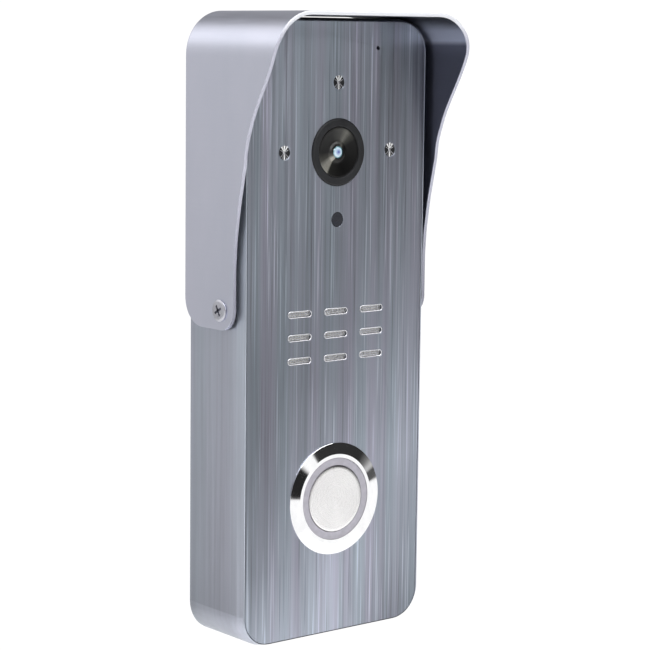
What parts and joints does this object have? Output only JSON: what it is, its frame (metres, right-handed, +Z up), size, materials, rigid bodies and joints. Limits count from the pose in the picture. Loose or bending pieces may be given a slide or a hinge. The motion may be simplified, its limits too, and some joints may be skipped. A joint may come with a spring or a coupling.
{
  "type": "outdoor video door station",
  "caption": "Wall-mounted outdoor video door station: slim metal call panel with camera, infra-red lamps, speaker slots and a lit push button under a sheet-metal rain hood.",
  "frame": {"origin": "midway between the two wall screw holes of the bracket, on the wall plane", "axes": "+X to the right as seen by a visitor, +Y into the wall, +Z up; the front plate faces -Y"},
  "size_m": [0.0512, 0.0288, 0.1241],
  "materials": {
    "cast_metal": "satin painted die casting",
    "brushed_plate": "vertical brushed grain",
    "hood_sheet": "satin anodised",
    "screw_steel": "bright plated",
    "bezel_black": "matt black",
    "black_turned": "turned, satin black",
    "lens_glass": "coated glass",
    "lamp_clear": "clear moulded",
    "dark_window": "smoked gloss",
    "sensor_ceramic": "ceramic",
    "black_rubber": "matt",
    "black_plastic": "fine moulded grain",
    "steel_mesh": "woven",
    "speaker_metal": "plated",
    "chrome_bezel": "polished",
    "cap_steel": "spun grain",
    "lit_ring": "milky translucent",
    "brass": "machined",
    "spring_steel": "plain",
    "circuit_board": "solder mask",
    "chip_plastic": "matt epoxy",
    "capacitor_sleeve": "shrink sleeve",
    "white_nylon": "nylon",
    "zinc_steel": "zinc plated"
  },
  "bodies": {
    "station": {"housing": "cast_metal", "front_plate": "brushed_plate", "plate_gasket": "black_rubber", "hood_screws": "screw_steel", "hood_washers": "black_plastic", "lens_bezel": "bezel_black", "lens_baffle": "black_turned", "lens_glass": "lens_glass", "lens_barrel": "black_turned", "lens_holder": "black_plastic", "image_sensor": "dark_window", "camera_board": "circuit_board", "board_spacers": "brass", "ir_leds": "lamp_clear", "ir_holders": "black_plastic", "ir_board": "circuit_board", "light_sensor_window": "dark_window", "light_sensor": "sensor_ceramic", "microphone": "zinc_steel", "microphone_boot": "black_rubber", "speaker_mesh": "steel_mesh", "speaker_gasket": "black_rubber", "speaker_frame": "speaker_metal", "speaker_cone": "black_plastic", "speaker_magnet": "speaker_metal", "button_bezel": "chrome_bezel", "button_o_ring": "black_rubber", "button_light_ring": "lit_ring", "button_nut": "brass", "button_spring": "spring_steel", "button_switch_body": "black_plastic", "button_terminals": "brass", "main_board": "circuit_board", "board_chips": "chip_plastic", "board_capacitors": "capacitor_sleeve", "cable_connector": "white_nylon", "board_screws": "screw_steel", "rear_cover": "black_plastic", "rear_seal": "black_rubber", "rear_cover_screws": "screw_steel", "cable_grommet": "black_rubber", "wall_bracket": "zinc_steel", "lock_screw": "screw_steel"},
    "hood": {"rain_hood": "hood_sheet"},
    "button": {"button_cap": "cap_steel", "button_contact": "brass"}
  },
  "joints": [
    {"name": "hood_swing", "type": "hinge", "parent": "station", "child": "hood", "pos_m": [0, -0.0118, 0.0053], "axis": [1, 0, 0], "range_deg": [0, 75]},
    {"name": "button_press", "type": "slide", "parent": "station", "child": "button", "axis": [0, 1, 0], "range_m": [0, 0.0008], "stiffness_N_per_m": 1500, "springref_m": -0.001, "deforming": ["button_spring"]}
  ]
}
